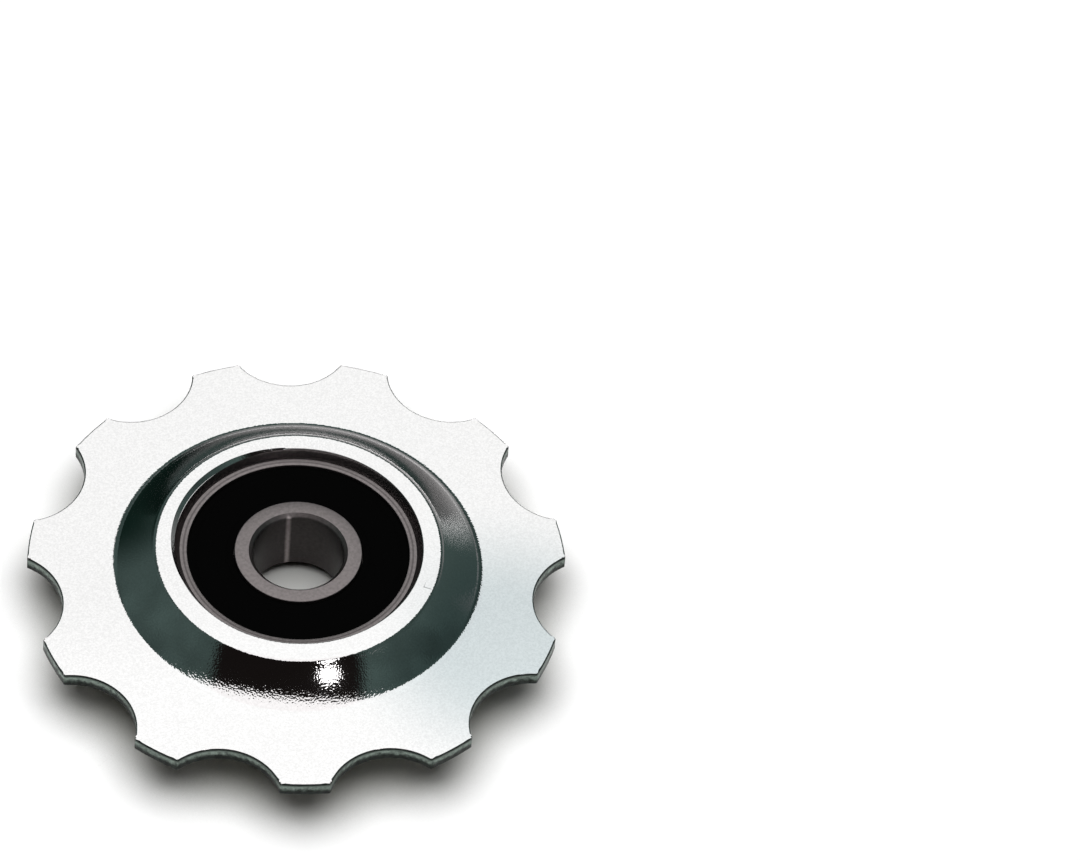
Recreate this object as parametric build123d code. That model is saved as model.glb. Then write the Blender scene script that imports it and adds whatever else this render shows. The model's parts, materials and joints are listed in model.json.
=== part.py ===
from build123d import *
import math
import os

# A steel jockey wheel with a sealed ball bearing pressed into its hub.
# Millimetres, +Z along the spin axis, origin at the middle of the bearing's bore.

# Chain and teeth
chain_pitch = 12.7
roller_diameter = 7.75
tooth_count = 11
tooth_height = 2.45
tooth_thickness = 1.2
seat_radius = 4.85
root_relief = 0.41
tooth_plane_offset = 0.3
die_roll = 0.12

# Hub of the wheel
lip_width = 1.5
lip_overhang = 0.8
lip_edge_break = 0.25
flare_run = 3.1
flare_hollow = 0.13
flare_blend = 1.2
shoulder_cover = 0.8

# Bearing rings
bore_diameter = 7.0
outside_diameter = 19.0
ring_chamfer = 0.3
inner_face_width = 1.4
outer_face_width = 1.0
groove_depth = 0.78
groove_conformity = 1.04
race_clearance = 0.03

# Balls and their cage
ball_count = 6
ball_diameter = 3.5
pocket_clearance = 0.08
cage_back = 0.3
cage_prong = 0.9
cage_side_gap = 0.25

# Seals
cage_to_seal_gap = 0.27
seal_web = 0.35
seal_bead = 0.7
seal_bead_width = 0.6
seal_lip_gap = 0.05
seal_recess = 0.25

# Radii and heights that follow from the sizes above
bore_radius = bore_diameter / 2
seat_bore_radius = outside_diameter / 2
ball_radius = ball_diameter / 2
ball_circle_radius = (bore_radius + seat_bore_radius) / 2
pocket_radius = ball_radius + pocket_clearance
cage_reach = pocket_radius + cage_back
seal_top = cage_reach + cage_to_seal_gap + seal_web
half_width = seal_top + seal_recess
seal_ledge = seal_top - seal_bead

groove_radius = ball_radius * groove_conformity
inner_groove = ball_circle_radius - ball_radius - race_clearance
outer_groove = ball_circle_radius + ball_radius + race_clearance
inner_shoulder = inner_groove + groove_depth
outer_shoulder = outer_groove - groove_depth
seal_land = bore_radius + inner_face_width
seal_seat = seat_bore_radius - outer_face_width

pitch_radius = chain_pitch / (2 * math.sin(math.pi / tooth_count))
root_radius = pitch_radius - roller_diameter / 2 - root_relief
tip_radius = root_radius + tooth_height
lip_radius = seat_bore_radius + lip_width
lip_height = half_width + lip_overhang
flare_foot = lip_radius + flare_run
disc_top = tooth_plane_offset + tooth_thickness / 2
disc_bottom = tooth_plane_offset - tooth_thickness / 2


def section(*points):
    """Closed face through (radius, height) points in the plane of the spin axis."""
    return Plane.XZ * make_face(Polyline(*points, close=True).edges())


def corner(face, radius, height):
    """The corner of a section that lies at a given radius and height."""
    return face.vertices().sort_by_distance((radius, 0, height))[0]


def turned(face):
    """Solid made by turning a section about the spin axis."""
    return revolve(face, axis=Axis.Z)


def around(count, radius):
    """Places evenly spread on a circle, the first one on +Y."""
    return PolarLocations(radius, count, start_angle=90)


def toothed_wheel():
    """Toothed disc and flared hub in one piece, bored from above down to a shoulder."""
    stop_radius = seat_bore_radius - shoulder_cover
    upper_lip, upper_foot = (lip_radius, lip_height), (flare_foot, disc_top)
    lower_lip, lower_foot = (lip_radius, -lip_height), (flare_foot, disc_bottom)
    rim = Polyline(upper_foot, (tip_radius, disc_top), (tip_radius, disc_bottom), lower_foot)
    bore = Polyline(
        lower_lip,
        (stop_radius, -lip_height),
        (stop_radius, -half_width),
        (seat_bore_radius, -half_width),
        (seat_bore_radius, lip_height),
        upper_lip,
    )
    upper_flare = SagittaArc(upper_lip, upper_foot, -flare_hollow)
    lower_flare = SagittaArc(lower_foot, lower_lip, -flare_hollow)
    blank = Plane.XZ * make_face((upper_flare + rim + lower_flare + bore).edges())
    blank = fillet([corner(blank, flare_foot, z) for z in (disc_top, disc_bottom)], flare_blend)
    lip_corners = [(lip_radius, lip_height), (lip_radius, -lip_height)]
    bore_corners = [(seat_bore_radius, lip_height), (stop_radius, -lip_height)]
    blank = chamfer([corner(blank, *place) for place in lip_corners + bore_corners], lip_edge_break)
    blank = chamfer(corner(blank, tip_radius, disc_top), die_roll)

    # Each roller seat is a round cut, flared where the punch has drawn in the upper edge.
    flare_cut = Cone(seat_radius - die_roll, seat_radius + die_roll, 2 * die_roll)
    seat_cut = Cylinder(seat_radius, 2 * lip_height) + Pos(0, 0, disc_top) * flare_cut
    return turned(blank) - [place * seat_cut for place in around(tooth_count, root_radius + seat_radius)]


def bearing_inner_ring():
    """Inner ring with its ball groove and a lower land at each end for the seal lip."""
    step = seal_ledge - seal_lip_gap
    blank = section(
        (bore_radius, half_width),
        (seal_land, half_width),
        (seal_land, step),
        (inner_shoulder, step),
        (inner_shoulder, -step),
        (seal_land, -step),
        (seal_land, -half_width),
        (bore_radius, -half_width),
    )
    blank = chamfer([corner(blank, bore_radius, z) for z in (half_width, -half_width)], ring_chamfer)
    groove = Pos(inner_groove + groove_radius, 0) * Circle(groove_radius)
    return turned(blank - Plane.XZ * groove)


def bearing_outer_ring():
    """Outer ring with its ball groove and a counterbore at each end for the seal."""
    blank = section(
        (seat_bore_radius, half_width),
        (seal_seat, half_width),
        (seal_seat, seal_ledge),
        (outer_shoulder, seal_ledge),
        (outer_shoulder, -seal_ledge),
        (seal_seat, -seal_ledge),
        (seal_seat, -half_width),
        (seat_bore_radius, -half_width),
    )
    blank = chamfer([corner(blank, seat_bore_radius, z) for z in (half_width, -half_width)], ring_chamfer)
    groove = Pos(outer_groove - groove_radius, 0) * Circle(groove_radius)
    return turned(blank - Plane.XZ * groove)


def seal():
    """Upper seal: a bead in the outer ring and a web that reaches to the inner ring."""
    lip_edge = seal_land + seal_lip_gap
    return turned(section(
        (lip_edge, seal_top),
        (seal_seat, seal_top),
        (seal_seat, seal_ledge),
        (seal_seat - seal_bead_width, seal_ledge),
        (seal_seat - seal_bead_width, seal_top - seal_web),
        (lip_edge, seal_top - seal_web),
    ))


def ball_cage():
    """Crown cage: a ring behind the balls with open pockets, whose prongs close over each ball."""
    band = Circle(outer_shoulder - cage_side_gap) - Circle(inner_shoulder + cage_side_gap)
    crown = Pos(0, 0, -cage_reach) * extrude(band, cage_reach + cage_prong)
    pocket = Rot(0, 90, 0) * Cylinder(pocket_radius, outer_shoulder - inner_shoulder)
    return crown - [place * pocket for place in around(ball_count, ball_circle_radius)]


os.makedirs("parts", exist_ok=True)
upper_seal = seal()
parts = {
    "toothed_wheel": toothed_wheel(),
    "bearing_inner_ring": bearing_inner_ring(),
    "bearing_outer_ring": bearing_outer_ring(),
    "seal_upper": upper_seal,
    "seal_lower": mirror(upper_seal, Plane.XY),
    "ball_cage": ball_cage(),
}
for number, place in enumerate(around(ball_count, ball_circle_radius), start=1):
    parts[f"ball_{number}"] = place * Sphere(ball_radius)

for name, solid in parts.items():
    export_step(solid, f"parts/{name}.step")
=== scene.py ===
import json
import math

import bmesh
import bpy
from bpy.props import FloatProperty, FloatVectorProperty, IntProperty, PointerProperty
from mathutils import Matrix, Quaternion, Vector


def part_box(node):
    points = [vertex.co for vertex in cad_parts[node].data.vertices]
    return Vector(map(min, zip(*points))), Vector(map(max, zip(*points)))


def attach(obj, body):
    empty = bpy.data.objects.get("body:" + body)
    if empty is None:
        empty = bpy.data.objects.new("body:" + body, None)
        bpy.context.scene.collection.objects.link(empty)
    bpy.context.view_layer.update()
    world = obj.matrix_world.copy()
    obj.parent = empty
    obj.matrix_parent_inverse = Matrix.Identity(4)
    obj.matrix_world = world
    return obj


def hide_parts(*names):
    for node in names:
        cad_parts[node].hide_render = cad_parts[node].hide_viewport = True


bl_info = {
    "name": "Jockey wheel",
    "version": (1, 0, 0),
    "blender": (4, 5, 0),
    "location": "3D View > Sidebar > Jockey wheel",
    "description": "Models a toothed jockey wheel with a sealed ball bearing and sets it on a studio stage",
    "category": "Object",
}

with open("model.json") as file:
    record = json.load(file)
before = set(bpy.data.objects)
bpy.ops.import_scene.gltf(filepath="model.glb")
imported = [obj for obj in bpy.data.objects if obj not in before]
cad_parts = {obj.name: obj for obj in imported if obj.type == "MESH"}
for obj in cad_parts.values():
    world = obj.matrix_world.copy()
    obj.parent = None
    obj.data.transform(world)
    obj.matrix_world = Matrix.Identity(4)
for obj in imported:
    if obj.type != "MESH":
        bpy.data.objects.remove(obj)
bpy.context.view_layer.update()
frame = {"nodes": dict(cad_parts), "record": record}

MM = 0.001

# Fineness of the meshes
STEPS_PER_TOOTH = 32
SEAT_STEPS = 120
INNER_STEPS = 192
OUTER_STEPS = 256
FLARE_PARTS = 8
GROOVE_PARTS = 6
BLEND_SEGMENTS = 8
LIP_SEGMENTS = 5
TOOTH_SEGMENTS = 4
EDGE_SEGMENTS = 3
SAME_PLACE = 1e-7
SAME_LEVEL = 1e-6
RIM_WELD = 2e-6
SMOOTH_ANGLE = math.radians(32)

# Tooth cutters and the faces and edges that they leave
CUT_THROUGH = 3
JOINT_MARGIN = 1.01
WALL_SLOPE = 0.5
SHEARED_SLOPE = 0.6
CORNER_ANGLE = math.radians(25)
RIM_EDGE_ANGLE = math.radians(60)

# Reamer that cut the seat's mouth: a cone, off centre by REAM_SHIFT
REAM_INSIDE = 0.57 * MM
REAM_OUTSIDE = 0.07 * MM
REAM_DEPTH = 0.6 * MM
REAM_SHIFT = (-0.51 * MM, 0.32 * MM)

# Nick in the lip: a flattened three-sided bar that dips into the lip
NICK_SIDES = 3
NICK_RADIUS = 0.8 * MM
NICK_WIDTH = 0.62 * MM
NICK_PLACE = (9.75 * MM, -4.05 * MM)
NICK_RISE = 0.065 * MM
NICK_TURN = (math.radians(-90), math.radians(11), math.radians(68))
NICK_FLATTEN = (1.0, 0.269, 1.0)

# Marks on the metal, and the place of a painted highlight streak in the bore
TEAR_HEIGHT = 0.4 * MM
LINE_RADIUS = 8.8 * MM
LINE_HALF_WIDTH = 0.07 * MM
HIGHLIGHT_PLACE = (-0.62 * MM, 3.44 * MM, 0.0)

# Roundings of the rubber seal, and where its lip ends and its dish begins
SEAL_EDGE = 0.1 * MM
SEAL_LIP_EDGE = 0.06 * MM
SEAL_LIP_WIDTH = 0.45 * MM
SEAL_DISH_START = 0.65 * MM

# Stage, in metres or as shares of the softbox's height
FLOOR_SIZE = 8.0
SOFTBOX_SHIFT = (-0.06, 0.17)
SOFTBOX_WIDTH = 2.2
KEY_BACK = 0.12
KEY_HEIGHT = 0.95
KEY_WIDTH = 1.36
FRONT_AZIMUTH = math.radians(160.1)
FRONT_ELEVATION = math.radians(34.6)
FRONT_DISTANCE = 0.6
FRONT_WIDTH, FRONT_DEPTH = 0.1, 0.09
UPRIGHT = (math.radians(90), 0, 0)
FLAG_SIZE, FLAG_PLACE = 4.0, (-0.43, -1.5, 2.75)
RING_STEPS, RING_HEIGHT = 96, 0.01
SURROUND_RADIUS, ARC_RADIUS = 0.03, 0.029
BACKDROP_SIZE, BACKDROP_PLACE = 6.4, (1.2, 2.5, 3.2)
REAR_DIRECTION = (0.375, 0.927, 0.0)
SENSOR_WIDTH = 36.0
CLIP_START = 0.01


def to_linear(hex_colour):
    """Linear RGBA of an sRGB colour written as RRGGBB."""
    channels = [int(hex_colour[place:place + 2], 16) / 255 for place in (0, 2, 4)]
    return tuple(c / 12.92 if c <= 0.04045 else ((c + 0.055) / 1.055) ** 2.4 for c in channels) + (1.0,)


def length(name, description, millimetres):
    """A length that the user may change, with its default given in millimetres."""
    return FloatProperty(name=name, description=description, default=millimetres * MM,
                         precision=5, unit="LENGTH")


def colour(name, description, hex_colour):
    """A colour that the user may change, with its default given as sRGB hex."""
    return FloatVectorProperty(name=name, description=description, default=to_linear(hex_colour),
                               size=4, min=0.0, max=1.0, subtype="COLOR")


WHEEL_LOW, WHEEL_HIGH = (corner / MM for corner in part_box("toothed_wheel"))
OUTER_LOW, OUTER_HIGH = (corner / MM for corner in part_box("bearing_outer_ring"))
INNER_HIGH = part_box("bearing_inner_ring")[1] / MM
SEAL_LOW, SEAL_HIGH = (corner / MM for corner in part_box("seal_upper"))
MOUNTS = {mount["name"]: mount for mount in frame["record"]["mounts"]}
BORE_RADIUS = MOUNTS["axle_bore"]["dims"]["r_mm"]
TEETH = MOUNTS["chain_teeth"]["dims"]["count"]


class WheelSizes(bpy.types.PropertyGroup):
    """Sizes and colours of the plated wheel."""
    teeth: IntProperty(name="Teeth", description="Number of teeth", default=TEETH, min=6)
    tip_radius: length("Tip radius", "Radius over the tooth tips", -WHEEL_LOW.y)
    root_radius: length("Root radius", "Radius at the bottom of a roller seat", 18.254)
    seat_radius: length("Seat radius", "Radius of the round cut that seats a roller", 4.85)
    disc_top: length("Disc top", "Height of the disc's upper face", 0.9)
    disc_bottom: length("Disc bottom", "Height of the disc's lower face", -0.3)
    lip_radius: length("Lip radius", "Outer radius of the hub's flat lip", 11.0)
    lip_edge: length("Lip edge", "Rounding of the lip's outer edge", 0.3)
    seat_edge: length("Seat edge", "Rounding at the mouth of the bearing's seat", 0.1)
    flare_foot: length("Flare foot", "Radius where the flare meets the flat disc", 14.1)
    flare_hollow: length("Flare hollow", "Depth of the flare's hollow below a straight cone", 0.13)
    flare_blend: length("Flare blend", "Length of the blend on each side of the flare's foot", 0.4)
    rim_joint: length("Rim joint", "Radius where the hub's blend has run out into the disc", 15.8)
    shoulder_radius: length("Shoulder radius", "Inner radius of the shoulder under the bearing", 8.7)
    die_roll: length("Die roll", "Rounding that the punch leaves on the teeth's upper edge", 0.14)
    tip_corner: length("Tip corner", "Rounding of the tooth corners in plan", 0.2)
    plating: colour("Plating", "Bright zinc plating", "BCBABA")
    # Painted shade: a blue-grey tone that dims part of the plating, standing in for a dimmer part of the
    # reflection.
    painted_dim_reflection: colour("Painted dim reflection", "Blue-grey film that dims part of the plating", "D8E1E3")
    sheared: colour("Sheared edge", "Plating over the torn edge of the sheet", "5E6761")


class BearingSizes(bpy.types.PropertyGroup):
    """Sizes and colours of the sealed bearing."""
    bore_radius: length("Bore radius", "Radius of the bore", BORE_RADIUS)
    ring_chamfer: length("Ring chamfer", "Chamfer at the bore", 0.3)
    outer_chamfer: length("Outer chamfer", "Worn chamfer at the outer ring's outside", 0.42)
    edge_break: length("Edge break", "Rounding of the rings' other edges", 0.08)
    land_radius: length("Land radius", "Outer radius of the inner ring's face", 4.9)
    groove_radius: length("Groove radius", "Radius of the ball groove's section", 1.82)
    inner_groove: length("Inner groove", "Radius at the bottom of the inner ring's groove", 4.72)
    outer_groove: length("Outer groove", "Radius at the bottom of the outer ring's groove", 8.28)
    shoulder: length("Shoulder", "Radius of the outer ring's bore beside the groove", 7.5)
    seal_gap: length("Seal gap", "Gap between the seal's lip and the inner ring", 0.05)
    seal_web: length("Seal web", "Thickness of the seal's web", 0.35)
    seal_bead: length("Seal bead", "Width of the bead that grips the outer ring", 0.6)
    seal_dish: length("Seal dish", "Depth to which the seal's face is dished", 0.08)
    steel: colour("Ring steel", "Ground bearing steel", "666060")
    ball: colour("Ball steel", "Polished bearing steel", "B9BABC")
    rubber: colour("Seal rubber", "Black rubber", "030303")
    polyamide: colour("Cage polyamide", "Moulded cage", "E4DCC8")


class StageSettings(bpy.types.PropertyGroup):
    """Camera, floor, cards, room and light."""
    lens: FloatProperty(name="Lens", description="Focal length in millimetres", default=266.7,
                        unit="CAMERA")
    distance: length("Distance", "Distance from the camera to the point it aims at", 625.0)
    azimuth: FloatProperty(name="Azimuth", description="Camera's turn about the spin axis, from the front",
                           default=math.radians(-6.9), subtype="ANGLE")
    elevation: FloatProperty(name="Elevation", description="Camera's height above the horizon",
                             default=math.radians(50.48), subtype="ANGLE")
    roll: FloatProperty(name="Roll", description="Camera's turn about its own sight line",
                        default=math.radians(5.3), subtype="ANGLE")
    aim_x: length("Aim X", "Point that the camera aims at", 19.424)
    aim_y: length("Aim Y", "Point that the camera aims at", 14.427)
    floor: colour("Floor", "White studio floor", "FFFFFF")
    bounce: colour("Bounce", "Floor as it throws light back under the wheel", "8A8883")
    # Painted shadow: the tone the floor is painted in the crevice below the teeth.
    crevice: colour("Crevice", "Floor in the crevice below the teeth", "8C8D82")
    room: colour("Room", "Dim studio around the stage", "3C3C3A")
    walls: colour("Walls", "Studio walls and the ring round the wheel, as the metal shows them", "586C68")
    rear_wall: colour("Rear wall", "Lit foot of the rear wall, as the metal shows it", "B8B8B8")
    front_wall: colour("Front wall", "Lit foot of the front wall, as the metal shows it", "F4F5F5")
    flag: colour("Flag", "Black flag in front", "1F1B1A")
    arc: colour("Arc", "Dark arc at the rear left of the ring", "1A2E28")
    backdrop: colour("Backdrop", "Pale card at the rear", "FFFFFF")
    softbox_height: length("Softbox height", "Height of the round softbox overhead", 1400.0)
    overhead: FloatProperty(name="Overhead", description="Radiance of the softbox overhead", default=2.0)
    key: FloatProperty(name="Key", description="Radiance of the lamp that lights the floor", default=3.1)
    front: FloatProperty(name="Front", description="Radiance of the small front lamp", default=6.0)


def add_node(tree, kind, inputs=None, **settings):
    """A shader node with its settings; an input is given as a value or as the socket to link."""
    node = tree.nodes.new(kind)
    for name, value in settings.items():
        setattr(node, name, value)
    for name, value in (inputs or {}).items():
        if isinstance(value, bpy.types.NodeSocket):
            tree.links.new(value, node.inputs[name])
        else:
            node.inputs[name].default_value = value
    return node


def new_material(name):
    """An empty material and its node tree."""
    material = bpy.data.materials.new(name)
    material.use_nodes = True
    material.node_tree.nodes.clear()
    return material, material.node_tree


def shade(tree, inputs):
    """Ends a material in one Principled shader."""
    shader = add_node(tree, "ShaderNodeBsdfPrincipled", inputs)
    add_node(tree, "ShaderNodeOutputMaterial", {"Surface": shader.outputs["BSDF"]})


def zinc_plated_steel(plating, painted_dim_reflection):
    # Bright zinc on rolled sheet: nearly a mirror, whose fine grain breaks the edge of a reflection into
    # speckle. Grain and pits are drawn at about 0.1 mm, coarser than the real crystals, so that they show.
    # A painted blue-grey shade dims the disc at the front right, standing in for a dimmer part of the
    # softbox's reflection, and a painted highlight makes the plating brightest at the front.
    material, tree = new_material("zinc_plated_steel")
    place = add_node(tree, "ShaderNodeTexCoord").outputs["Object"]
    grain = add_node(tree, "ShaderNodeTexNoise", {"Vector": place, "Scale": 1 / (0.13 * MM), "Detail": 0.0})
    pits = add_node(tree, "ShaderNodeTexNoise", {
        "Vector": place, "Scale": 1 / (0.16 * MM), "Detail": 3.0, "Roughness": 0.7})
    cloud = add_node(tree, "ShaderNodeTexNoise", {"Vector": place, "Scale": 1 / (5 * MM), "Detail": 3.0})
    across = add_node(tree, "ShaderNodeSeparateXYZ", {"Vector": place})
    pit_tone = add_node(tree, "ShaderNodeMapRange", {
        "Value": pits.outputs["Fac"], "From Min": 0.38, "From Max": 0.62, "To Min": 0.88, "To Max": 1.0})
    # Painted highlight: the plating is painted brighter towards the front of the disc.
    painted_front_highlight = add_node(tree, "ShaderNodeMapRange", {
        "Value": across.outputs["Y"], "From Min": -14 * MM, "From Max": -2 * MM,
        "To Min": 1.0, "To Max": 0.93}, interpolation_type="SMOOTHSTEP")
    tone = add_node(tree, "ShaderNodeMath", {
        0: pit_tone.outputs["Result"], 1: painted_front_highlight.outputs["Result"]}, operation="MULTIPLY")
    # Painted shade: a blue-grey tone dims the disc at the front right, where the reflection should be dimmer.
    dim_reflection_place = add_node(tree, "ShaderNodeMapping", {
        "Vector": place, "Location": (-15.4 * MM, 7.2 * MM, -2.7 * MM), "Scale": (1.0, 1.0, 3.0)})
    dim_reflection_distance = add_node(tree, "ShaderNodeVectorMath", {0: dim_reflection_place.outputs["Vector"]},
                             operation="LENGTH")
    painted_light = add_node(tree, "ShaderNodeMapRange", {
        "Value": dim_reflection_distance.outputs["Value"], "From Min": 4 * MM, "From Max": 14 * MM,
        "To Min": 1.0, "To Max": 0.0}, interpolation_type="SMOOTHSTEP")
    toned = add_node(tree, "ShaderNodeMix", {"Factor": 1.0, "A": plating, "B": tone.outputs["Value"]},
                     data_type="RGBA", blend_type="MULTIPLY")
    base = add_node(tree, "ShaderNodeMix", {
        "Factor": painted_light.outputs["Result"], "A": toned.outputs["Result"], "B": painted_dim_reflection},
        data_type="RGBA", blend_type="MULTIPLY")
    rough = add_node(tree, "ShaderNodeMapRange", {
        "Value": cloud.outputs["Fac"], "From Min": 0.3, "From Max": 0.7, "To Min": 0.04, "To Max": 0.07})
    bump = add_node(tree, "ShaderNodeBump", {
        "Height": grain.outputs["Fac"], "Strength": 1.0, "Distance": 0.0055 * MM})
    shade(tree, {"Base Color": base.outputs["Result"], "Metallic": 1.0,
                 "Roughness": rough.outputs["Result"], "Normal": bump.outputs["Normal"]})
    return material


def sheared_zinc_edge(sheared):
    # Zinc over the torn edge of punched sheet: dull and pitted, with a paler burnished band along the
    # middle. It is darker towards the bottom, partly the dull torn zone and partly painted shade beside the
    # floor's shadow, and painted shade darkens the top below the rolled edge, standing in for its dark
    # reflection.
    material, tree = new_material("sheared_zinc_edge")
    place = add_node(tree, "ShaderNodeTexCoord").outputs["Object"]
    tears = add_node(tree, "ShaderNodeTexNoise", {
        "Vector": place, "Scale": 1 / (0.35 * MM), "Detail": 4.0, "Roughness": 0.65})
    height = add_node(tree, "ShaderNodeSeparateXYZ", {"Vector": place})
    ragged = add_node(tree, "ShaderNodeMath", {
        0: tears.outputs["Fac"], 1: TEAR_HEIGHT, 2: height.outputs["Z"]}, operation="MULTIPLY_ADD")
    # Paler burnished band in the middle; towards the bottom the dull torn zone is darkened further with
    # painted shade.
    burnish_and_painted_shade = add_node(tree, "ShaderNodeMapRange", {
        "Value": ragged.outputs["Value"], "From Min": 0.2 * MM, "From Max": 0.65 * MM,
        "To Min": 0.2, "To Max": 2.1}, interpolation_type="SMOOTHSTEP")
    # Painted shade along the top of the wall, standing in for the dark reflection in the rolled edge.
    painted_top_shade = add_node(tree, "ShaderNodeMapRange", {
        "Value": ragged.outputs["Value"], "From Min": 0.75 * MM, "From Max": 0.95 * MM,
        "To Min": 1.0, "To Max": 0.15}, interpolation_type="SMOOTHSTEP")
    tear_tone = add_node(tree, "ShaderNodeMapRange", {
        "Value": tears.outputs["Fac"], "From Min": 0.35, "From Max": 0.65, "To Min": 0.4, "To Max": 1.1})
    bands = add_node(tree, "ShaderNodeMath", {
        0: burnish_and_painted_shade.outputs["Result"], 1: painted_top_shade.outputs["Result"]}, operation="MULTIPLY")
    tone = add_node(tree, "ShaderNodeMath", {
        0: bands.outputs["Value"], 1: tear_tone.outputs["Result"]}, operation="MULTIPLY")
    base = add_node(tree, "ShaderNodeMix", {"Factor": 1.0, "A": sheared, "B": tone.outputs["Value"]},
                    data_type="RGBA", blend_type="MULTIPLY")
    bump = add_node(tree, "ShaderNodeBump", {
        "Height": tears.outputs["Fac"], "Strength": 1.0, "Distance": 0.05 * MM})
    shade(tree, {"Base Color": base.outputs["Result"], "Metallic": 1.0, "Roughness": 0.42,
                 "Normal": bump.outputs["Normal"]})
    return material


def ground_bearing_steel(steel):
    # Ground ring faces: grey-brown steel with fine rings round the axis from the wheel that ground it.
    # A dark line runs round the outer ring's face. The bore is painted darker, as shade inside the hole, with
    # one painted highlight streak down it.
    material, tree = new_material("ground_bearing_steel")
    place = add_node(tree, "ShaderNodeTexCoord").outputs["Object"]
    flat = add_node(tree, "ShaderNodeVectorMath", {0: place, 1: (1.0, 1.0, 0.0)}, operation="MULTIPLY")
    radius = add_node(tree, "ShaderNodeVectorMath", {0: flat.outputs["Vector"]}, operation="LENGTH")
    rings = add_node(tree, "ShaderNodeTexNoise", {
        "W": radius.outputs["Value"], "Scale": 1 / (0.12 * MM), "Detail": 2.0}, noise_dimensions="1D")
    mottle = add_node(tree, "ShaderNodeTexNoise", {
        "Vector": place, "Scale": 1 / (0.25 * MM), "Detail": 3.0})
    mottle_tone = add_node(tree, "ShaderNodeMapRange", {
        "Value": mottle.outputs["Fac"], "From Min": 0.3, "From Max": 0.7, "To Min": 0.75, "To Max": 1.05})
    on_line = add_node(tree, "ShaderNodeMath", {
        0: radius.outputs["Value"], 1: LINE_RADIUS, 2: LINE_HALF_WIDTH}, operation="COMPARE")
    line_tone = add_node(tree, "ShaderNodeMapRange", {
        "Value": on_line.outputs["Value"], "To Min": 1.03, "To Max": 0.6})
    tone = add_node(tree, "ShaderNodeMath", {
        0: mottle_tone.outputs["Result"], 1: line_tone.outputs["Result"]}, operation="MULTIPLY")
    # Painted shade: the bore is painted darker, as shade inside the hole.
    bore = add_node(tree, "ShaderNodeMapRange", {
        "Value": radius.outputs["Value"], "From Min": 3.52 * MM, "From Max": 3.6 * MM,
        "To Min": 0.42, "To Max": 1.0})
    # Painted highlight: one bright streak down the bore.
    highlight_distance = add_node(tree, "ShaderNodeVectorMath", {
        0: flat.outputs["Vector"], 1: HIGHLIGHT_PLACE}, operation="DISTANCE")
    painted_highlight_streak = add_node(tree, "ShaderNodeMapRange", {
        "Value": highlight_distance.outputs["Value"], "From Min": 0.05 * MM, "From Max": 0.3 * MM,
        "To Min": 2.5, "To Max": 0.0})
    painted_light = add_node(tree, "ShaderNodeMath", {
        0: bore.outputs["Result"], 1: painted_highlight_streak.outputs["Result"]}, operation="MAXIMUM")
    shaded = add_node(tree, "ShaderNodeMath", {
        0: tone.outputs["Value"], 1: painted_light.outputs["Value"]}, operation="MULTIPLY")
    base = add_node(tree, "ShaderNodeMix", {"Factor": 1.0, "A": steel, "B": shaded.outputs["Value"]},
                    data_type="RGBA", blend_type="MULTIPLY")
    bump = add_node(tree, "ShaderNodeBump", {
        "Height": rings.outputs["Fac"], "Strength": 0.6, "Distance": 0.006 * MM})
    shade(tree, {"Base Color": base.outputs["Result"], "Metallic": 1.0, "Roughness": 0.36,
                 "Normal": bump.outputs["Normal"]})
    return material


def polished_ball_steel(ball):
    # Lapped balls: a near mirror with the faintest haze.
    material, tree = new_material("polished_ball_steel")
    place = add_node(tree, "ShaderNodeTexCoord").outputs["Object"]
    haze = add_node(tree, "ShaderNodeTexNoise", {"Vector": place, "Scale": 1 / (0.6 * MM), "Detail": 2.0})
    rough = add_node(tree, "ShaderNodeMapRange", {
        "Value": haze.outputs["Fac"], "To Min": 0.04, "To Max": 0.12})
    shade(tree, {"Base Color": ball, "Metallic": 1.0, "Roughness": rough.outputs["Result"]})
    return material


def moulded_seal_rubber(rubber):
    # Moulded nitrile rubber: deep black, dull, with the fine orange peel of the mould.
    material, tree = new_material("moulded_seal_rubber")
    place = add_node(tree, "ShaderNodeTexCoord").outputs["Object"]
    peel = add_node(tree, "ShaderNodeTexNoise", {"Vector": place, "Scale": 1 / (0.15 * MM), "Detail": 2.0})
    rough = add_node(tree, "ShaderNodeMapRange", {
        "Value": peel.outputs["Fac"], "To Min": 0.5, "To Max": 0.7})
    bump = add_node(tree, "ShaderNodeBump", {
        "Height": peel.outputs["Fac"], "Strength": 0.5, "Distance": 0.01 * MM})
    shade(tree, {"Base Color": rubber, "Roughness": rough.outputs["Result"],
                 "Specular IOR Level": 0.005, "Normal": bump.outputs["Normal"]})
    return material


def moulded_polyamide(polyamide):
    # Natural polyamide: cream and a little waxy, with faint flow marks.
    material, tree = new_material("moulded_polyamide")
    place = add_node(tree, "ShaderNodeTexCoord").outputs["Object"]
    flow = add_node(tree, "ShaderNodeTexNoise", {"Vector": place, "Scale": 1 / (1.5 * MM), "Detail": 3.0})
    tone = add_node(tree, "ShaderNodeMapRange", {
        "Value": flow.outputs["Fac"], "To Min": 0.88, "To Max": 1.0})
    base = add_node(tree, "ShaderNodeMix", {"Factor": 1.0, "A": polyamide, "B": tone.outputs["Result"]},
                    data_type="RGBA", blend_type="MULTIPLY")
    shade(tree, {"Base Color": base.outputs["Result"], "Roughness": 0.45})
    return material


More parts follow.
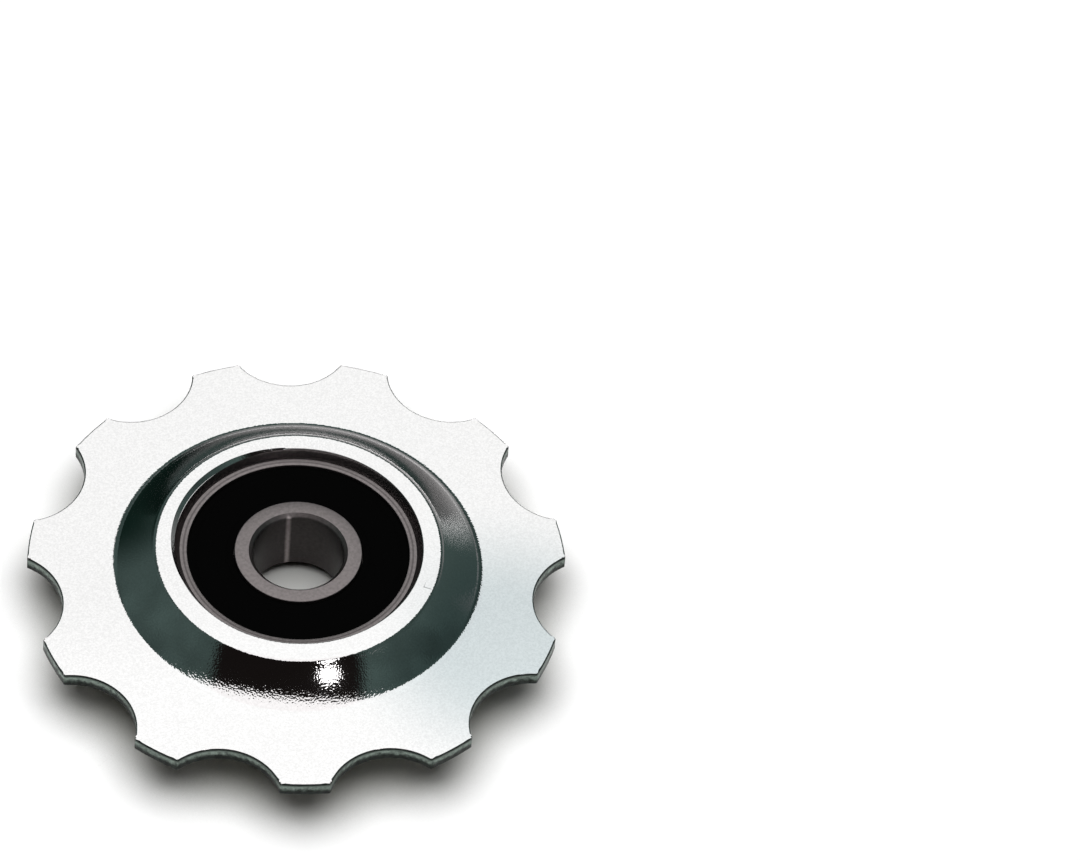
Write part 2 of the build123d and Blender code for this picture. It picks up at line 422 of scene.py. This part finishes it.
def white_floor(white, bounce_tone, crevice_tone):
    # Matt white board. The eye and the metal see it white, and it throws less light back under the wheel.
    # Painted shadow darkens it in the crevice below the teeth; painted light keeps it paler under the bore.
    material, tree = new_material("white_floor")
    place = add_node(tree, "ShaderNodeTexCoord").outputs["Object"]
    tooth = add_node(tree, "ShaderNodeTexNoise", {"Vector": place, "Scale": 1 / (2 * MM), "Detail": 2.0})
    # Painted shadow: ambient occlusion darkens the floor in the crevice below the teeth.
    open_sky = add_node(tree, "ShaderNodeAmbientOcclusion", {"Distance": 10 * MM}, samples=8)
    crevice = add_node(tree, "ShaderNodeMapRange", {
        "Value": open_sky.outputs["AO"], "From Min": 0.15, "From Max": 0.82})
    off_axis = add_node(tree, "ShaderNodeVectorMath", {0: place}, operation="LENGTH")
    # Painted light: near the axis the floor is kept paler, as if light came through the bore.
    painted_light_under_bore = add_node(tree, "ShaderNodeMapRange", {
        "Value": off_axis.outputs["Value"], "From Min": 5.2 * MM, "From Max": 8 * MM,
        "To Min": 0.55, "To Max": 0.0})
    lit = add_node(tree, "ShaderNodeMath", {
        0: crevice.outputs["Result"], 1: painted_light_under_bore.outputs["Result"]}, operation="MAXIMUM")
    board = add_node(tree, "ShaderNodeMapRange", {
        "Value": tooth.outputs["Fac"], "To Min": 0.99, "To Max": 1.0})
    shaded = add_node(tree, "ShaderNodeMix", {
        "Factor": lit.outputs["Value"], "A": crevice_tone, "B": white}, data_type="RGBA")
    base = add_node(tree, "ShaderNodeMix", {
        "Factor": 1.0, "A": shaded.outputs["Result"], "B": board.outputs["Result"]},
        data_type="RGBA", blend_type="MULTIPLY")
    ray = add_node(tree, "ShaderNodeLightPath")
    seen = add_node(tree, "ShaderNodeMix", {
        "Factor": ray.outputs["Is Diffuse Ray"], "A": base.outputs["Result"], "B": bounce_tone},
        data_type="RGBA")
    diffuse = add_node(tree, "ShaderNodeBsdfDiffuse", {"Color": seen.outputs["Result"]})
    add_node(tree, "ShaderNodeOutputMaterial", {"Surface": diffuse.outputs["BSDF"]})
    return material


def soft_card(name, tone, centre, stretch, near, far):
    # A studio card that glows at its own tone without being lit, as a painted reflection in the metal, and
    # fades out away from its middle.
    material, tree = new_material(name)
    place = add_node(tree, "ShaderNodeTexCoord").outputs["Object"]
    offset = add_node(tree, "ShaderNodeVectorMath", {0: place, 1: centre}, operation="SUBTRACT")
    spread = add_node(tree, "ShaderNodeVectorMath", {0: offset.outputs["Vector"], 1: stretch},
                      operation="MULTIPLY")
    distance = add_node(tree, "ShaderNodeVectorMath", {0: spread.outputs["Vector"]}, operation="LENGTH")
    fade = add_node(tree, "ShaderNodeMapRange", {
        "Value": distance.outputs["Value"], "From Min": near, "From Max": far,
        "To Min": 1.0, "To Max": 0.0}, interpolation_type="SMOOTHSTEP")
    clear = add_node(tree, "ShaderNodeBsdfTransparent")
    glow = add_node(tree, "ShaderNodeEmission", {"Color": tone, "Strength": 1.0})
    mix = add_node(tree, "ShaderNodeMixShader", {
        0: fade.outputs["Result"], 1: clear.outputs["BSDF"], 2: glow.outputs["Emission"]})
    add_node(tree, "ShaderNodeOutputMaterial", {"Surface": mix.outputs["Shader"]})
    return material


def added(name):
    """The object that was added last, under its own name."""
    piece = bpy.context.object
    piece.name = piece.data.name = name
    return piece


def only(*pieces):
    """Selects these pieces alone, the first one active."""
    bpy.ops.object.select_all(action="DESELECT")
    for piece in pieces:
        piece.select_set(True)
    bpy.context.view_layer.objects.active = pieces[0]


def pick(piece, kind, test):
    """In edit mode, selects the faces, edges or vertices that pass a test."""
    bpy.ops.mesh.select_mode(type={"faces": "FACE", "edges": "EDGE", "verts": "VERT"}[kind])
    bpy.ops.mesh.select_all(action="DESELECT")
    mesh = bmesh.from_edit_mesh(piece.data)
    for element in [element for element in getattr(mesh, kind) if test(element)]:
        element.select_set(True)
    bmesh.update_edit_mesh(piece.data)


def radius_of(point):
    """Distance of a point from the spin axis."""
    return math.hypot(point.x, point.y)


def middle(edge):
    """Midpoint of an edge."""
    return (edge.verts[0].co + edge.verts[1].co) / 2


def turned(name, corners, steps, closed):
    """Turns a section about the spin axis. A corner is (radius, height, rounding run, segments)."""
    bpy.ops.object.select_all(action="DESELECT")
    bpy.ops.mesh.primitive_plane_add(size=MM)
    piece = added(name)
    bpy.ops.object.mode_set(mode="EDIT")
    bpy.ops.mesh.select_mode(type="VERT")
    bpy.ops.mesh.select_all(action="SELECT")
    bpy.ops.mesh.merge(type="COLLAPSE")
    places = [Vector((corner[0], 0.0, corner[1])) for corner in corners]
    bpy.ops.transform.translate(value=places[0])
    for start, end in zip(places, places[1:]):
        bpy.ops.mesh.extrude_vertices_move(TRANSFORM_OT_translate={"value": end - start})
    if closed:
        ends = (places[0], places[-1])
        pick(piece, "verts", lambda v: min((v.co - end).length for end in ends) < SAME_PLACE)
        bpy.ops.mesh.edge_face_add()
    for place, (_, _, run, segments) in zip(places, corners):
        if run:
            pick(piece, "verts", lambda v: (v.co - place).length < SAME_PLACE)
            bpy.ops.mesh.bevel(offset=run, segments=segments, affect="VERTICES", clamp_overlap=False)
    bpy.ops.mesh.select_all(action="SELECT")
    bpy.ops.mesh.spin(steps=steps, angle=2 * math.pi, center=(0, 0, 0), axis=(0, 0, 1))
    bpy.ops.mesh.select_all(action="SELECT")
    bpy.ops.mesh.remove_doubles(threshold=SAME_PLACE)
    bpy.ops.mesh.normals_make_consistent(inside=False)
    bpy.ops.object.mode_set(mode="OBJECT")
    return piece


def cut(piece, cutters):
    """Takes the cutters away from a piece and removes them."""
    only(*cutters)
    bpy.ops.object.join()
    tool = bpy.context.object
    only(piece)
    bpy.ops.object.modifier_add(type="BOOLEAN")
    modifier = piece.modifiers[-1]
    modifier.operation = "DIFFERENCE"
    modifier.solver = "EXACT"
    modifier.object = tool
    bpy.ops.object.modifier_apply(modifier=modifier.name)
    only(tool)
    bpy.ops.object.delete()
    only(piece)


def require_closed(piece):
    """Stops the script where a mesh has an open or a doubled edge."""
    mesh = bmesh.new()
    mesh.from_mesh(piece.data)
    loose = sum(not edge.is_manifold for edge in mesh.edges)
    mesh.free()
    if loose:
        raise RuntimeError(f"{piece.name} has {loose} edges that don't join two faces")


def finish_piece(piece, body, node):
    """Smooths a piece's curved faces and puts it in the place of its CAD node."""
    require_closed(piece)
    only(piece)
    bpy.ops.object.transform_apply(location=True, rotation=True, scale=True)
    bpy.ops.object.shade_smooth_by_angle(angle=SMOOTH_ANGLE)
    bpy.ops.object.modifier_add(type="WEIGHTED_NORMAL")
    piece.modifiers[-1].keep_sharp = True
    bpy.ops.object.modifier_apply(modifier=piece.modifiers[-1].name)
    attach(piece, body)
    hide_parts(node)


def toothed_rim(sizes, steps):
    """The disc outside the hub, with its teeth cut, its corners rounded and its upper edge rolled."""
    thickness = sizes.disc_top - sizes.disc_bottom
    level = (sizes.disc_top + sizes.disc_bottom) / 2
    seat_circle = sizes.root_radius + sizes.seat_radius
    bpy.ops.object.select_all(action="DESELECT")
    bpy.ops.mesh.primitive_cylinder_add(vertices=steps, radius=sizes.tip_radius, depth=thickness,
                                        location=(0, 0, level))
    rim = added("plated_wheel")
    bpy.ops.object.transform_apply(location=True)
    bpy.ops.mesh.primitive_cylinder_add(vertices=steps, radius=sizes.rim_joint, depth=CUT_THROUGH * thickness,
                                        location=(0, 0, level))
    cutters = [added("hub_cutter")]
    for seat in range(sizes.teeth):
        angle = math.pi / 2 + seat * 2 * math.pi / sizes.teeth
        bpy.ops.mesh.primitive_cylinder_add(
            vertices=SEAT_STEPS, radius=sizes.seat_radius, depth=CUT_THROUGH * thickness,
            location=(seat_circle * math.cos(angle), seat_circle * math.sin(angle), level))
        cutters.append(added("seat_cutter"))
    cut(rim, cutters)

    bpy.ops.object.mode_set(mode="EDIT")
    joint = JOINT_MARGIN * sizes.rim_joint
    pick(rim, "faces", lambda f: abs(f.normal.z) < WALL_SLOPE
         and radius_of(f.calc_center_median()) < joint)
    bpy.ops.mesh.delete(type="FACE")
    pick(rim, "edges", lambda e: len(e.link_faces) == 2
         and abs(e.verts[0].co.z - e.verts[1].co.z) > thickness / 2
         and e.calc_face_angle() > CORNER_ANGLE)
    bpy.ops.mesh.bevel(offset=sizes.tip_corner, segments=TOOTH_SEGMENTS, affect="EDGES",
                       clamp_overlap=False)
    pick(rim, "edges", lambda e: len(e.link_faces) == 2 and middle(e).z > sizes.disc_top - SAME_LEVEL
         and e.calc_face_angle() > RIM_EDGE_ANGLE)
    bpy.ops.mesh.bevel(offset=sizes.die_roll, segments=TOOTH_SEGMENTS, affect="EDGES",
                       clamp_overlap=False)
    bpy.ops.object.mode_set(mode="OBJECT")
    return rim


def flare(lip, foot, hollow):
    """Corners along a flare from the lip's edge to the disc, hollowed towards the hub."""
    chord = foot - lip
    inward = Vector((-abs(chord.y), -math.copysign(chord.x, lip.y))).normalized()
    shares = [part / FLARE_PARTS for part in range(1, FLARE_PARTS)]
    return [(*(lip + share * chord + 4 * hollow * share * (1 - share) * inward), 0, 0) for share in shares]


def hub(sizes, steps):
    """Everything inside the rim joint: blends, flares, lips, bearing seat and shoulder."""
    lip_height = WHEEL_HIGH.z * MM
    seat_radius = OUTER_HIGH.x * MM
    shoulder_height = OUTER_LOW.z * MM
    edge = sizes.lip_edge
    upper = flare(Vector((sizes.lip_radius, lip_height)), Vector((sizes.flare_foot, sizes.disc_top)),
                  sizes.flare_hollow)
    lower = flare(Vector((sizes.lip_radius, -lip_height)), Vector((sizes.flare_foot, sizes.disc_bottom)),
                  sizes.flare_hollow)
    # A narrow ring beside the seat's edge keeps the rest of the lip's shading flat.
    flat_ring = (seat_radius + 2 * sizes.seat_edge, lip_height, 0, 0)
    return turned("hub", [
        (sizes.rim_joint, sizes.disc_top, 0, 0),
        (sizes.flare_foot, sizes.disc_top, sizes.flare_blend, BLEND_SEGMENTS),
        *reversed(upper),
        (sizes.lip_radius, lip_height, edge, LIP_SEGMENTS),
        flat_ring,
        (seat_radius, lip_height, sizes.seat_edge, EDGE_SEGMENTS),
        (seat_radius, shoulder_height, 0, 0),
        (sizes.shoulder_radius, shoulder_height, 0, 0),
        (sizes.shoulder_radius, -lip_height, edge, LIP_SEGMENTS),
        (sizes.lip_radius, -lip_height, edge, LIP_SEGMENTS),
        *lower,
        (sizes.flare_foot, sizes.disc_bottom, sizes.flare_blend, BLEND_SEGMENTS),
        (sizes.rim_joint, sizes.disc_bottom, 0, 0),
    ], steps, closed=False)


def wear_cutters(steps):
    """The reamer that ran off centre in the seat's mouth, and the bar that nicks the lip."""
    seat_radius, lip_height = OUTER_HIGH.x * MM, WHEEL_HIGH.z * MM
    bpy.ops.mesh.primitive_cone_add(
        vertices=steps, radius1=seat_radius - REAM_INSIDE, radius2=seat_radius + REAM_OUTSIDE,
        depth=REAM_DEPTH, location=(*REAM_SHIFT, lip_height))
    reamer = added("reamer")
    bpy.ops.mesh.primitive_cylinder_add(
        vertices=NICK_SIDES, radius=NICK_RADIUS, depth=NICK_WIDTH,
        location=(*NICK_PLACE, lip_height + NICK_RISE), rotation=NICK_TURN, scale=NICK_FLATTEN)
    return [reamer, added("nick_cutter")]


class JOCKEY_OT_plated_wheel(bpy.types.Operator):
    """Models the zinc-plated wheel: toothed rim, flared hub and bearing seat in one piece."""
    bl_idname = "jockey.plated_wheel"
    bl_label = "Plated wheel"

    def execute(self, context):
        sizes = context.scene.jockey_wheel
        steps = STEPS_PER_TOOTH * sizes.teeth
        wheel = toothed_rim(sizes, steps)
        only(wheel, hub(sizes, steps))
        bpy.ops.object.join()
        bpy.ops.object.mode_set(mode="EDIT")
        bpy.ops.mesh.select_all(action="SELECT")
        bpy.ops.mesh.remove_doubles(threshold=RIM_WELD)
        bpy.ops.mesh.normals_make_consistent(inside=False)
        bpy.ops.object.mode_set(mode="OBJECT")
        cut(wheel, wear_cutters(steps))

        wheel.data.materials.append(zinc_plated_steel(sizes.plating, sizes.painted_dim_reflection))
        wheel.data.materials.append(sheared_zinc_edge(sizes.sheared))
        wheel.active_material_index = 1
        bpy.ops.object.mode_set(mode="EDIT")
        pick(wheel, "faces", lambda f: abs(f.normal.z) < SHEARED_SLOPE
             and radius_of(f.calc_center_median()) > sizes.rim_joint)
        bpy.ops.object.material_slot_assign()
        bpy.ops.object.mode_set(mode="OBJECT")
        finish_piece(wheel, "wheel", "toothed_wheel")
        return {"FINISHED"}


def groove(bottom, section_radius, side, shoulder):
    """Corners of a ball groove from its upper edge to its lower one; side is 1 where it opens outwards."""
    centre = bottom + side * section_radius
    reach = math.acos(abs(centre - shoulder) / section_radius)
    angles = [reach * (1 - step / GROOVE_PARTS) for step in range(2 * GROOVE_PARTS + 1)]
    return [(centre - side * section_radius * math.cos(a), section_radius * math.sin(a), 0, 0)
            for a in angles]


class JOCKEY_OT_bearing_rings(bpy.types.Operator):
    """Models the bearing's two steel rings with their ball grooves, seal steps and broken edges."""
    bl_idname = "jockey.bearing_rings"
    bl_label = "Bearing rings"

    def execute(self, context):
        sizes = context.scene.jockey_bearing
        face = INNER_HIGH.z * MM
        inner_shoulder = INNER_HIGH.x * MM
        outside = OUTER_HIGH.x * MM
        seat_radius = SEAL_HIGH.x * MM
        ledge = SEAL_LOW.z * MM
        step = ledge - sizes.seal_gap
        chamfer, edge = sizes.ring_chamfer, sizes.edge_break
        steel = ground_bearing_steel(sizes.steel)
        inner = turned("inner_race", [
            (sizes.bore_radius, face, chamfer, 1),
            (sizes.land_radius, face, edge, EDGE_SEGMENTS),
            (sizes.land_radius, step, 0, 0),
            (inner_shoulder, step, edge, EDGE_SEGMENTS),
            *groove(sizes.inner_groove, sizes.groove_radius, 1, inner_shoulder),
            (inner_shoulder, -step, edge, EDGE_SEGMENTS),
            (sizes.land_radius, -step, 0, 0),
            (sizes.land_radius, -face, edge, EDGE_SEGMENTS),
            (sizes.bore_radius, -face, chamfer, 1),
        ], INNER_STEPS, closed=True)
        inner.data.materials.append(steel)
        finish_piece(inner, "inner_ring", "bearing_inner_ring")
        outer = turned("outer_race", [
            (outside, face, sizes.outer_chamfer, 1),
            (seat_radius, face, edge, EDGE_SEGMENTS),
            (seat_radius, ledge, 0, 0),
            (sizes.shoulder, ledge, edge, EDGE_SEGMENTS),
            *groove(sizes.outer_groove, sizes.groove_radius, -1, sizes.shoulder),
            (sizes.shoulder, -ledge, edge, EDGE_SEGMENTS),
            (seat_radius, -ledge, 0, 0),
            (seat_radius, -face, edge, EDGE_SEGMENTS),
            (outside, -face, sizes.outer_chamfer, 1),
        ], OUTER_STEPS, closed=True)
        outer.data.materials.append(steel)
        finish_piece(outer, "wheel", "bearing_outer_ring")
        return {"FINISHED"}


class JOCKEY_OT_seals(bpy.types.Operator):
    """Models the upper rubber seal and turns a copy over for the lower one."""
    bl_idname = "jockey.seals"
    bl_label = "Seals"

    def execute(self, context):
        sizes = context.scene.jockey_bearing
        seat_radius = SEAL_HIGH.x * MM
        top = SEAL_HIGH.z * MM
        ledge = SEAL_LOW.z * MM
        lip = sizes.land_radius + sizes.seal_gap
        bead = seat_radius - sizes.seal_bead
        web = top - sizes.seal_web
        dish = top - sizes.seal_dish
        upper = turned("rubber_seal_upper", [
            (lip, top, SEAL_LIP_EDGE, EDGE_SEGMENTS),
            (lip + SEAL_LIP_WIDTH, top, SEAL_EDGE, EDGE_SEGMENTS),
            (lip + SEAL_DISH_START, dish, SEAL_EDGE, EDGE_SEGMENTS),
            (bead - SEAL_EDGE, dish, SEAL_EDGE, EDGE_SEGMENTS),
            (bead + SEAL_EDGE, top, SEAL_EDGE, EDGE_SEGMENTS),
            (seat_radius, top, SEAL_EDGE, EDGE_SEGMENTS),
            (seat_radius, ledge, SEAL_EDGE, EDGE_SEGMENTS),
            (bead, ledge, SEAL_EDGE, EDGE_SEGMENTS),
            (bead, web, 0, 0),
            (lip, web, SEAL_EDGE, EDGE_SEGMENTS),
        ], OUTER_STEPS, closed=True)
        only(upper)
        bpy.ops.object.duplicate()
        lower = added("rubber_seal_lower")
        bpy.ops.object.mode_set(mode="EDIT")
        bpy.ops.mesh.select_all(action="SELECT")
        bpy.ops.transform.resize(value=(1, 1, -1), center_override=(0, 0, 0))
        bpy.ops.mesh.normals_make_consistent(inside=False)
        bpy.ops.object.mode_set(mode="OBJECT")
        rubber = moulded_seal_rubber(sizes.rubber)
        for seal, node in ((upper, "seal_upper"), (lower, "seal_lower")):
            seal.data.materials.append(rubber)
            finish_piece(seal, "wheel", node)
        return {"FINISHED"}


class JOCKEY_OT_balls_and_cage(bpy.types.Operator):
    """Gives the balls and the cage inside the bearing their finishes."""
    bl_idname = "jockey.balls_and_cage"
    bl_label = "Balls and cage"

    def execute(self, context):
        sizes = context.scene.jockey_bearing
        finishes = {"ball_steel": polished_ball_steel(sizes.ball),
                    "cage_polyamide": moulded_polyamide(sizes.polyamide)}
        for subpart in frame["record"]["subparts"]:
            finish = finishes.get(subpart["material_slot"])
            if finish:
                node = frame["nodes"][subpart["node"]]
                node.data.materials.clear()
                node.data.materials.append(finish)
        return {"FINISHED"}


def round_lamp(name, place, target, width, depth, radiance):
    """An oval lamp that faces a target."""
    facing = (place - target).to_track_quat("Z", "Y").to_euler()
    bpy.ops.object.light_add(type="AREA", location=place, rotation=facing)
    lamp = added(name)
    lamp.data.shape = "ELLIPSE"
    lamp.data.size, lamp.data.size_y = width, depth
    lamp.data.energy = radiance * math.pi * math.pi * width * depth / 4
    return lamp


def hang_lamps(stage):
    """Hangs a softbox that only the metal shows, a lamp that lights only matt things, and a front lamp."""
    height = stage.softbox_height
    over = Vector((SOFTBOX_SHIFT[0] * height, SOFTBOX_SHIFT[1] * height, height))
    width = SOFTBOX_WIDTH * height
    softbox = round_lamp("overhead_softbox", over, Vector((over.x, over.y, 0)), width, width, stage.overhead)
    softbox.visible_diffuse = False
    over = Vector((0, KEY_BACK * height, KEY_HEIGHT * height))
    width = KEY_WIDTH * height
    key = round_lamp("key_lamp", over, Vector((over.x, over.y, 0)), width, width, stage.key)
    key.visible_glossy = False
    place = FRONT_DISTANCE * Vector((math.sin(FRONT_AZIMUTH) * math.cos(FRONT_ELEVATION),
                                     math.cos(FRONT_AZIMUTH) * math.cos(FRONT_ELEVATION),
                                     math.sin(FRONT_ELEVATION)))
    round_lamp("front_lamp", place, Vector(), FRONT_WIDTH, FRONT_DEPTH, stage.front)


def set_card(name, material):
    """Makes what was added last a card that is only seen in the metal."""
    piece = added(name)
    only(piece)
    bpy.ops.object.transform_apply(location=True, rotation=True)
    piece.data.materials.append(material)
    piece.visible_camera = piece.visible_diffuse = piece.visible_shadow = False


def set_cards(stage):
    """Sets a black flag in front, a dark ring with a darker arc round the wheel, and a pale backdrop."""
    bpy.ops.mesh.primitive_plane_add(size=FLAG_SIZE, location=FLAG_PLACE, rotation=UPRIGHT)
    set_card("black_flag", soft_card("black_card", stage.flag, centre=(-0.38, -1.5, 1.0),
                                     stretch=(1.0, 0.0, 0.2), near=1.5, far=2.0))
    ring_place = (0, 0, WHEEL_LOW.z * MM + RING_HEIGHT / 2)
    bpy.ops.mesh.primitive_cylinder_add(vertices=RING_STEPS, radius=SURROUND_RADIUS, depth=RING_HEIGHT,
                                        end_fill_type="NOTHING", location=ring_place)
    set_card("dark_surround", soft_card("dark_card", stage.walls, centre=(-0.005, -0.0296, 0.0),
                                        stretch=(1.0, 1.0, 0.0), near=0.053, far=0.0585))
    bpy.ops.mesh.primitive_cylinder_add(vertices=RING_STEPS, radius=ARC_RADIUS, depth=RING_HEIGHT,
                                        end_fill_type="NOTHING", location=ring_place)
    set_card("dark_arc", soft_card("teal_card", stage.arc, centre=(-0.0192, 0.0217, 0.005),
                                   stretch=(1.0, 1.0, 1.5), near=0.007, far=0.0165))
    bpy.ops.mesh.primitive_plane_add(size=BACKDROP_SIZE, location=BACKDROP_PLACE, rotation=UPRIGHT)
    set_card("low_backdrop", soft_card("white_card", stage.backdrop, centre=(1.2, 2.5, 0.0),
                                       stretch=(1.0, 1.0, 2.5), near=0.2, far=2.3))


def dim_room(stage):
    # A dim studio. The metal shows its uneven walls, which are lit along the foot at the rear and in front.
    world = bpy.data.worlds.new("dim_room")
    world.use_nodes = True
    tree = world.node_tree
    tree.nodes.clear()
    place = add_node(tree, "ShaderNodeTexCoord").outputs["Object"]
    clutter = add_node(tree, "ShaderNodeTexNoise", {"Vector": place, "Scale": 3.0, "Detail": 2.0})
    uneven = add_node(tree, "ShaderNodeMapRange", {
        "Value": clutter.outputs["Fac"], "From Min": 0.3, "From Max": 0.7, "To Min": 0.6, "To Max": 1.3})
    walls = add_node(tree, "ShaderNodeMix", {
        "Factor": 1.0, "A": stage.walls, "B": uneven.outputs["Result"]},
        data_type="RGBA", blend_type="MULTIPLY")
    level = add_node(tree, "ShaderNodeSeparateXYZ", {"Vector": place})
    low_band = add_node(tree, "ShaderNodeMapRange", {
        "Value": level.outputs["Z"], "From Min": 0.36, "From Max": 0.42, "To Min": 1.0, "To Max": 0.0})
    rear = add_node(tree, "ShaderNodeVectorMath", {0: place, 1: REAR_DIRECTION}, operation="DOT_PRODUCT")
    rear_wall = add_node(tree, "ShaderNodeMapRange", {
        "Value": rear.outputs["Value"], "From Min": 0.6, "From Max": 0.97})
    rear_glow = add_node(tree, "ShaderNodeMath", {
        0: low_band.outputs["Result"], 1: rear_wall.outputs["Result"]}, operation="MULTIPLY")
    rear_lit = add_node(tree, "ShaderNodeMix", {
        "Factor": rear_glow.outputs["Value"], "A": walls.outputs["Result"], "B": stage.rear_wall},
        data_type="RGBA")
    front_wall = add_node(tree, "ShaderNodeMapRange", {
        "Value": level.outputs["Y"], "From Min": -0.75, "From Max": -0.5, "To Min": 1.0, "To Max": 0.0})
    front_glow = add_node(tree, "ShaderNodeMath", {
        0: low_band.outputs["Result"], 1: front_wall.outputs["Result"]}, operation="MULTIPLY")
    lit_walls = add_node(tree, "ShaderNodeMix", {
        "Factor": front_glow.outputs["Value"], "A": rear_lit.outputs["Result"], "B": stage.front_wall},
        data_type="RGBA")
    ray = add_node(tree, "ShaderNodeLightPath")
    tone = add_node(tree, "ShaderNodeMix", {
        "Factor": ray.outputs["Is Glossy Ray"], "A": stage.room, "B": lit_walls.outputs["Result"]},
        data_type="RGBA")
    background = add_node(tree, "ShaderNodeBackground", {"Color": tone.outputs["Result"], "Strength": 1.0})
    add_node(tree, "ShaderNodeOutputWorld", {"Surface": background.outputs["Background"]})
    return world


def photo_camera(stage):
    """A camera at the photograph's viewing angle."""
    aim = Vector((stage.aim_x, stage.aim_y, 0))
    outward = Vector((math.sin(stage.azimuth) * math.cos(stage.elevation),
                      -math.cos(stage.azimuth) * math.cos(stage.elevation), math.sin(stage.elevation)))
    bpy.ops.object.camera_add(location=aim + stage.distance * outward)
    camera = added("photo_camera")
    camera.rotation_mode = "QUATERNION"
    camera.rotation_quaternion = ((-outward).to_track_quat("-Z", "Y")
                                  @ Quaternion((0, 0, 1), stage.roll))
    camera.data.sensor_fit = "HORIZONTAL"
    camera.data.sensor_width = SENSOR_WIDTH
    camera.data.lens = stage.lens
    camera.data.clip_start = CLIP_START
    return camera


class JOCKEY_OT_stage(bpy.types.Operator):
    """Sets the floor, the lamps, the cards, the dim room and the camera."""
    bl_idname = "jockey.stage"
    bl_label = "Stage"

    def execute(self, context):
        stage = context.scene.jockey_stage
        bpy.ops.object.select_all(action="DESELECT")
        bpy.ops.mesh.primitive_plane_add(size=FLOOR_SIZE, location=(0, 0, WHEEL_LOW.z * MM))
        floor = added("floor")
        bpy.ops.object.transform_apply(location=True)
        floor.data.materials.append(white_floor(stage.floor, stage.bounce, stage.crevice))
        hang_lamps(stage)
        set_cards(stage)
        context.scene.world = dim_room(stage)
        context.scene.camera = photo_camera(stage)
        context.scene.view_settings.view_transform = "Standard"
        return {"FINISHED"}


class JOCKEY_PT_panel(bpy.types.Panel):
    """Lists the pieces, their sizes and the stage."""
    bl_idname = "JOCKEY_PT_panel"
    bl_label = "Jockey wheel"
    bl_space_type = "VIEW_3D"
    bl_region_type = "UI"
    bl_category = "Jockey wheel"

    def draw(self, context):
        for operator in OPERATORS:
            self.layout.operator(operator.bl_idname)
        scene = context.scene
        for group in (scene.jockey_wheel, scene.jockey_bearing, scene.jockey_stage):
            box = self.layout.box()
            for name in group.__annotations__:
                box.prop(group, name)


OPERATORS = (JOCKEY_OT_plated_wheel, JOCKEY_OT_bearing_rings, JOCKEY_OT_seals, JOCKEY_OT_balls_and_cage,
             JOCKEY_OT_stage)
CLASSES = (WheelSizes, BearingSizes, StageSettings, *OPERATORS, JOCKEY_PT_panel)


def register():
    for item in CLASSES:
        bpy.utils.register_class(item)
    bpy.types.Scene.jockey_wheel = PointerProperty(type=WheelSizes)
    bpy.types.Scene.jockey_bearing = PointerProperty(type=BearingSizes)
    bpy.types.Scene.jockey_stage = PointerProperty(type=StageSettings)


def unregister():
    del bpy.types.Scene.jockey_stage
    del bpy.types.Scene.jockey_bearing
    del bpy.types.Scene.jockey_wheel
    for item in reversed(CLASSES):
        bpy.utils.unregister_class(item)


def main():
    register()
    bpy.ops.jockey.plated_wheel()
    bpy.ops.jockey.bearing_rings()
    bpy.ops.jockey.seals()
    bpy.ops.jockey.balls_and_cage()
    bpy.ops.jockey.stage()


if __name__ == "__main__":
    main()
